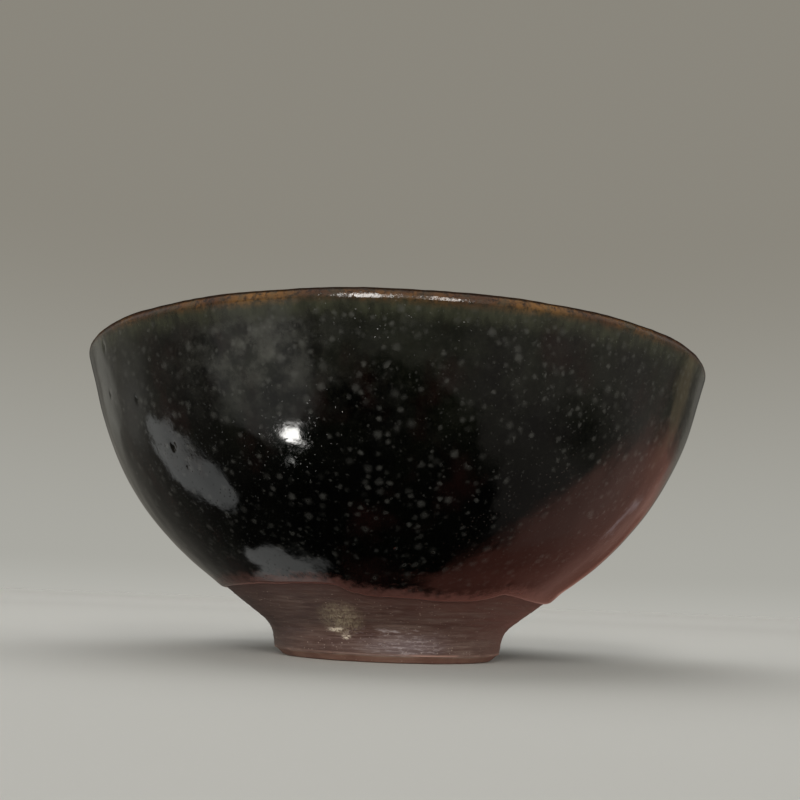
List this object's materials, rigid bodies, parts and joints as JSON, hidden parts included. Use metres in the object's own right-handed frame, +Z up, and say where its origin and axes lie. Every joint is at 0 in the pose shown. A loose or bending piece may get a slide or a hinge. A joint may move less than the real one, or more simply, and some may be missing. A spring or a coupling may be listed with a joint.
{
  "type": "tea bowl",
  "caption": "Footed conical stoneware tea bowl with a dark iron glaze, a rust-brown lip and a bare clay foot.",
  "frame": {"origin": "middle of the flat face that the foot ring rests on", "axes": "+Z up along the axis of the bowl, out of its mouth; +X and +Y across it, with the lowest dip of the outer glaze's free edge facing -Y"},
  "size_m": [0.12, 0.12, 0.0556],
  "materials": {
    "clay": "matte",
    "dark_glaze": "gloss",
    "lip_glaze": "gloss",
    "iron_wash": "satin"
  },
  "bodies": {
    "root": {"clay_body": "clay", "glaze_outside": "dark_glaze", "glaze_inside": "dark_glaze", "glaze_lip": "lip_glaze", "foot_wash": "iron_wash"}
  },
  "joints": []
}
